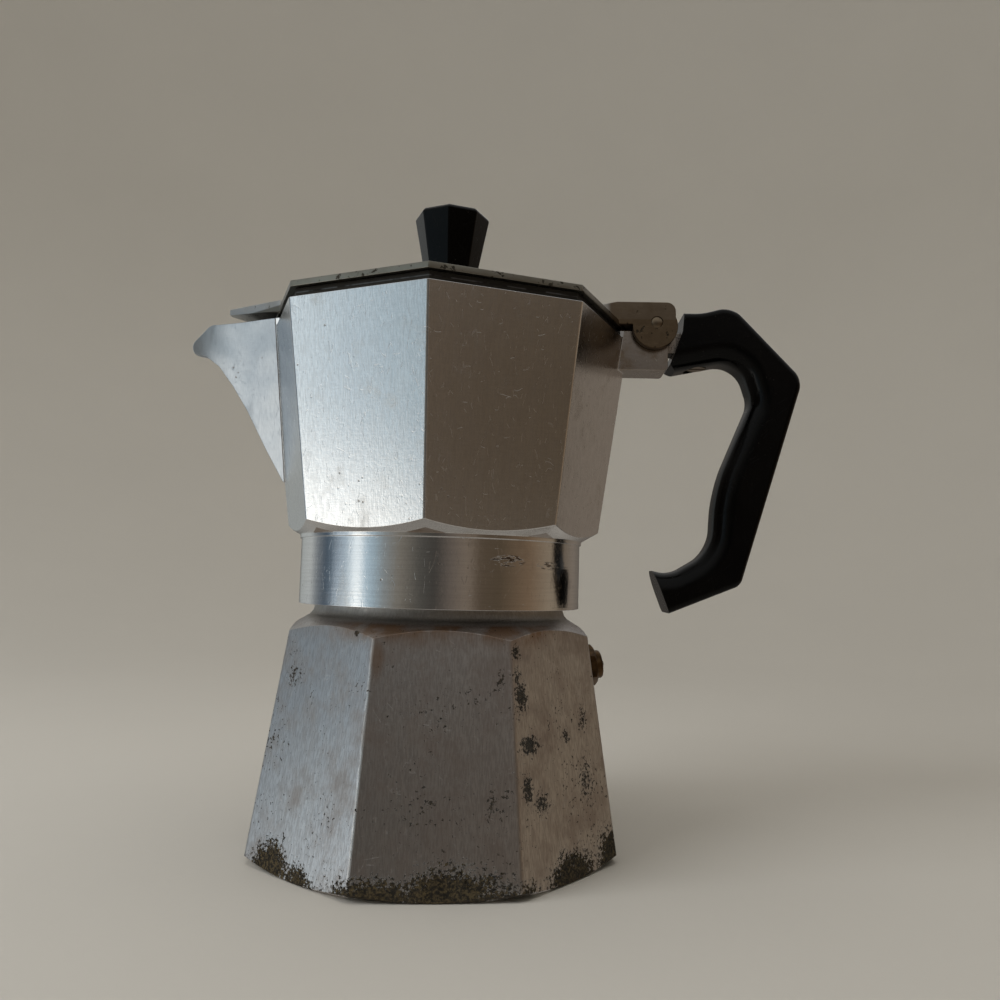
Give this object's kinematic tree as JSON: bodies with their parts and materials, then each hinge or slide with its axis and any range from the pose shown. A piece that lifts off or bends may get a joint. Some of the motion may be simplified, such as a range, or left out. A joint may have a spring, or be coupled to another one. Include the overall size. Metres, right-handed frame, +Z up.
{
  "type": "moka pot",
  "caption": "Octagonal stove-top coffee maker: threaded boiler with funnel, spouted collector, hinged lid and hooked handle.",
  "frame": {"origin": "middle of the base, on the surface the pot stands on", "axes": "+Z up along the pot, +X towards the handle, -X towards the spout"},
  "size_m": [0.1628, 0.0974, 0.1668],
  "materials": {
    "cast_aluminium": "worn, machined with fine vertical lines",
    "boiler_aluminium": "dull, stained towards the foot",
    "lid_aluminium": "tarnished",
    "sheet_aluminium": "spun",
    "black_bakelite": "glossy",
    "seal_rubber": "matte",
    "valve_brass": "darkened",
    "steel": "dull"
  },
  "bodies": {
    "boiler": {"boiler": "boiler_aluminium", "valve_body": "valve_brass", "valve_washer": "sheet_aluminium", "valve_cap": "valve_brass", "valve_spring": "steel"},
    "valve": {"valve_piston": "valve_brass", "valve_seal": "seal_rubber"},
    "funnel": {"funnel": "sheet_aluminium", "funnel_stem": "sheet_aluminium", "funnel_sieve": "sheet_aluminium"},
    "filter": {"filter_plate": "sheet_aluminium"},
    "seal": {"seal_ring": "seal_rubber"},
    "collector": {"collector": "cast_aluminium", "column": "cast_aluminium", "handle": "black_bakelite", "handle_screw": "steel", "hinge_pin": "steel"},
    "lid": {"lid": "lid_aluminium", "lid_knob": "black_bakelite", "knob_washer": "steel", "knob_screw": "steel"}
  },
  "joints": [
    {"name": "valve_lift", "type": "slide", "parent": "boiler", "child": "valve", "axis": [0.9825, 0.1206, 0.1419], "range_m": [0, 0.0012], "stiffness_N_per_m": 800, "springref_m": -0.002, "deforming": ["valve_spring"]},
    {"name": "funnel_lift", "type": "slide", "parent": "boiler", "child": "funnel", "axis": [0, 0, 1], "range_m": [0, 0.075]},
    {"name": "collector_lift", "type": "slide", "parent": "funnel", "child": "filter", "axis": [0, 0, 1], "range_m": [0, 0.06]},
    {"name": "collector_rise", "type": "slide", "parent": "filter", "child": "seal", "axis": [0, 0, 1], "range_m": [0, 0.0062]},
    {"name": "collector_unscrew", "type": "hinge", "parent": "seal", "child": "collector", "pos_m": [0, 0, 0.0681], "axis": [0, 0, 1], "range_deg": [0, 630]},
    {"name": "lid_hinge", "type": "hinge", "parent": "collector", "child": "lid", "pos_m": [0.0554, 0, 0.1361], "axis": [0, 1, 0], "range_deg": [0, 110]}
  ],
  "couplings": [
    {"joint": "collector_rise", "follows": "collector_unscrew", "m_per_rad": 0.00055704}
  ]
}
